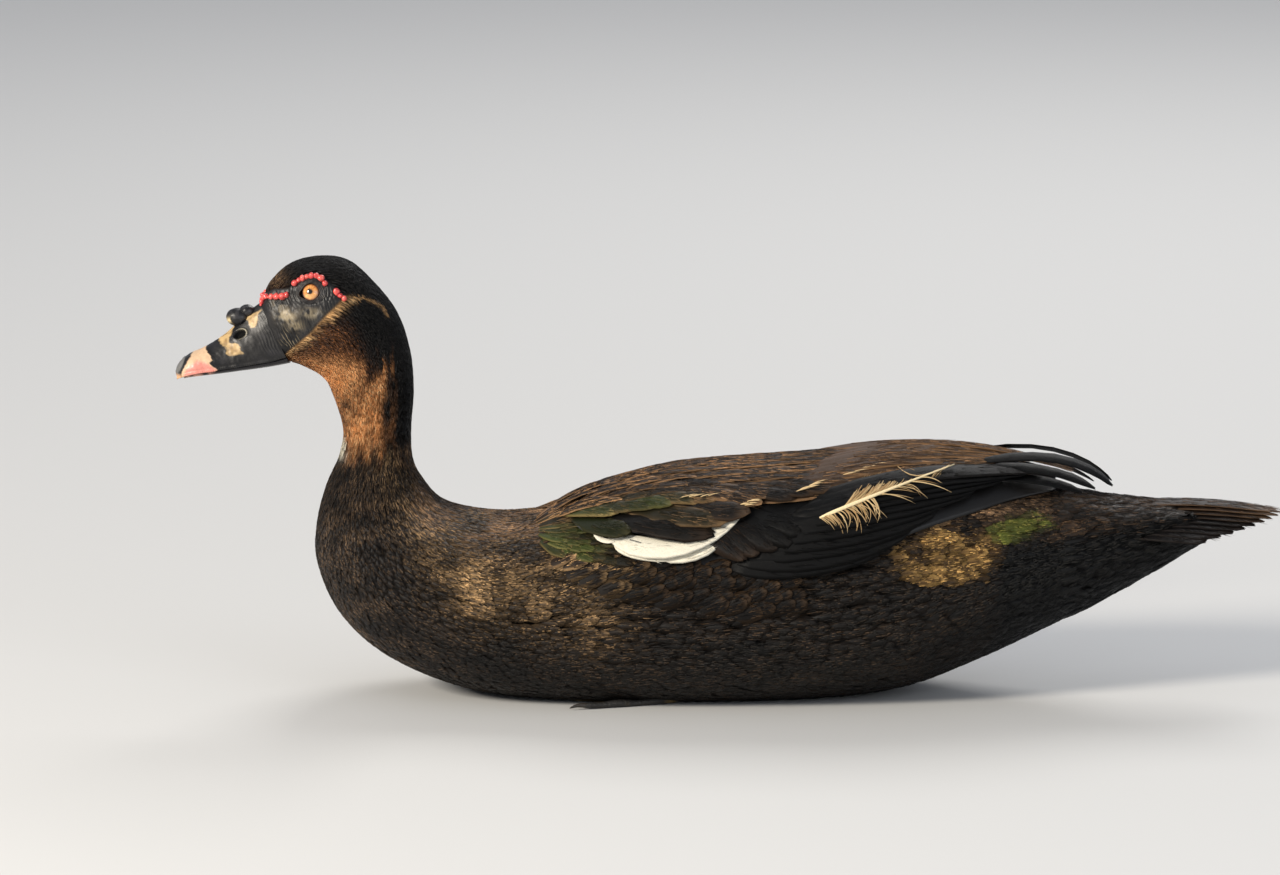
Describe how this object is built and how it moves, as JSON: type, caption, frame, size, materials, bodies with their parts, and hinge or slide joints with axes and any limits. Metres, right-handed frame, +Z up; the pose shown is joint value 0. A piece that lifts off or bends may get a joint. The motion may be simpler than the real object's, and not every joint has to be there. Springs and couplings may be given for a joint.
{
  "type": "muscovy duck",
  "caption": "Life-size still model of a muscovy duck resting on its belly, neck raised, wings folded and webbed feet tucked under.",
  "frame": {"origin": "on the floor under the middle of the bird's length and width", "axes": "+Z up, +X towards the tail, the bill points along -X, +Y to the bird's right side"},
  "size_m": [0.6679, 0.1768, 0.2657],
  "materials": {
    "head_skin": "black bare skin and short black crown feathers, with glossy coral-red caruncles",
    "bill": "smooth horn, glossy black with pink and cream patches and a grey nail",
    "eye": "wet amber iris with a small black pupil",
    "neck_feathers": "fine soft brown feathers, almost black behind",
    "body_feathers": "dark brown-black overlapping feathers with paler worn edges",
    "wing_feathers": "bronze-brown and blackish feathers with a green gloss and a white patch",
    "tail_feathers": "long dark brown feathers with paler brown edges",
    "leg_skin": "grey-black scaly skin with horn claws"
  },
  "bodies": {
    "root": {"head": "head_skin", "bill_upper": "bill", "bill_lower": "bill", "eye_left": "eye", "eye_right": "eye", "neck": "neck_feathers", "torso": "body_feathers", "wing_left": "wing_feathers", "wing_right": "wing_feathers", "tail": "tail_feathers", "leg_left": "leg_skin", "leg_right": "leg_skin", "foot_left": "leg_skin", "foot_right": "leg_skin"}
  },
  "joints": []
}
